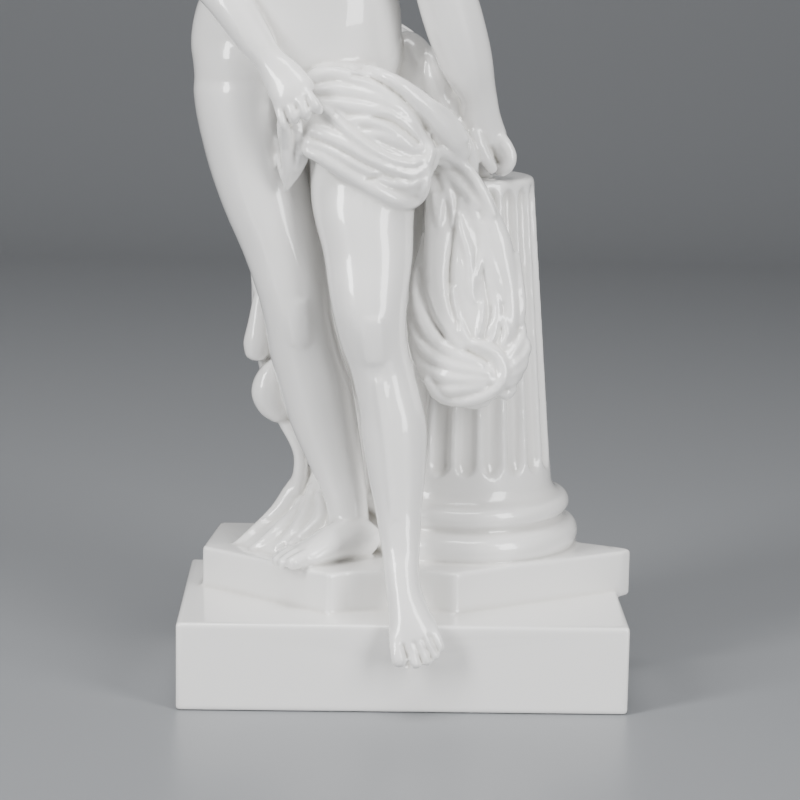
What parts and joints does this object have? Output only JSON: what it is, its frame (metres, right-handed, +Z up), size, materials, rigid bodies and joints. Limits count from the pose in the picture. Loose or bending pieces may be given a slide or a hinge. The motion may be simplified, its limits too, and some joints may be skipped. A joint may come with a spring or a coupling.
{
  "type": "porcelain bather figurine",
  "caption": "White glazed porcelain figurine of a bather with a cloth round the hips, leaning on a fluted column on a stepped plinth, one foot hanging over its edge.",
  "frame": {"origin": "on the underside of the plinth, under the middle of the block's width and of its plain depth", "axes": "+Z up, -Y to the front, which the hanging foot passes, +X to the side of the column"},
  "size_m": [0.1679, 0.1265, 0.3769],
  "materials": {
    "porcelain": "clear gloss glaze over white porcelain"
  },
  "bodies": {
    "root": {"bather_figurine": "porcelain"}
  },
  "joints": []
}
